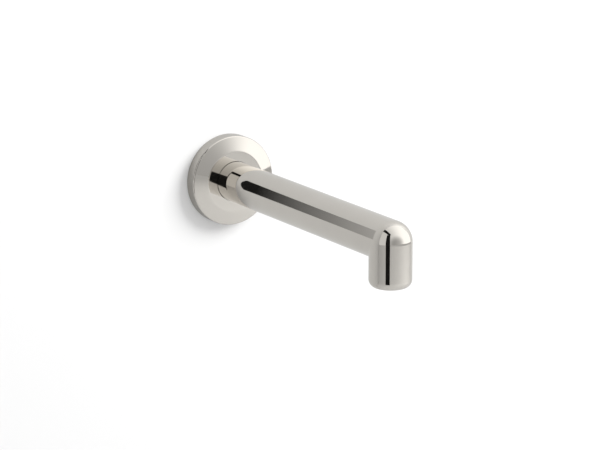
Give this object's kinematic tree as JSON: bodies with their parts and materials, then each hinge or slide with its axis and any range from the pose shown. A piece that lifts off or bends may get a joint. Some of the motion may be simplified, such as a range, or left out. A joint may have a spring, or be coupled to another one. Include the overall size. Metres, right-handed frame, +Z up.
{
  "type": "wall mounted bath spout",
  "caption": "Straight round bath spout with a ball-cornered down-turned outlet and a sliding round wall flange, slipped over a supply pipe and locked by a hidden set screw.",
  "frame": {"origin": "on the wall plane at the centre of the supply bore, which is the tube's axis", "axes": "+Z up, +Y into the wall along the tube's axis, -Y the way the spout reaches out"},
  "size_m": [0.0698, 0.2505, 0.0698],
  "materials": {
    "polished_nickel": "polished",
    "machined_brass": "satin",
    "stainless_steel": "satin",
    "black_rubber": "matte",
    "foam_gasket": "matte",
    "grey_plastic": "satin",
    "white_plastic": "satin"
  },
  "bodies": {
    "spout": {"spout_tube": "polished_nickel", "outlet_elbow": "polished_nickel", "inlet_bushing": "machined_brass", "bushing_oring": "black_rubber", "front_pipe_oring": "black_rubber", "rear_pipe_oring": "black_rubber"},
    "escutcheon": {"escutcheon": "polished_nickel", "escutcheon_oring": "black_rubber", "wall_gasket": "foam_gasket"},
    "set_screw": {"set_screw": "stainless_steel"},
    "washer": {"outlet_washer": "black_rubber"},
    "straightener": {"straightener_housing": "grey_plastic", "straightener_core": "white_plastic", "lower_screen": "stainless_steel", "upper_screen": "stainless_steel", "screen_spacer": "white_plastic", "inlet_strainer": "stainless_steel"}
  },
  "joints": [
    {"name": "escutcheon_slide", "type": "slide", "parent": "spout", "child": "escutcheon", "axis": [0, -1, 0], "range_m": [0, 0.205]},
    {"name": "set_screw_travel", "type": "slide", "parent": "spout", "child": "set_screw", "axis": [0, 0, -1], "range_m": [0, 0.0029]},
    {"name": "washer_travel", "type": "slide", "parent": "spout", "child": "washer", "axis": [0, 0, -1], "range_m": [0, 0.008]},
    {"name": "straightener_turn", "type": "hinge", "parent": "washer", "child": "straightener", "pos_m": [0, -0.235, -0.027], "axis": [0, 0, -1], "range_deg": [0, 2880]}
  ],
  "couplings": [
    {"joint": "washer_travel", "follows": "straightener_turn", "m_per_rad": 0.00015915}
  ]
}
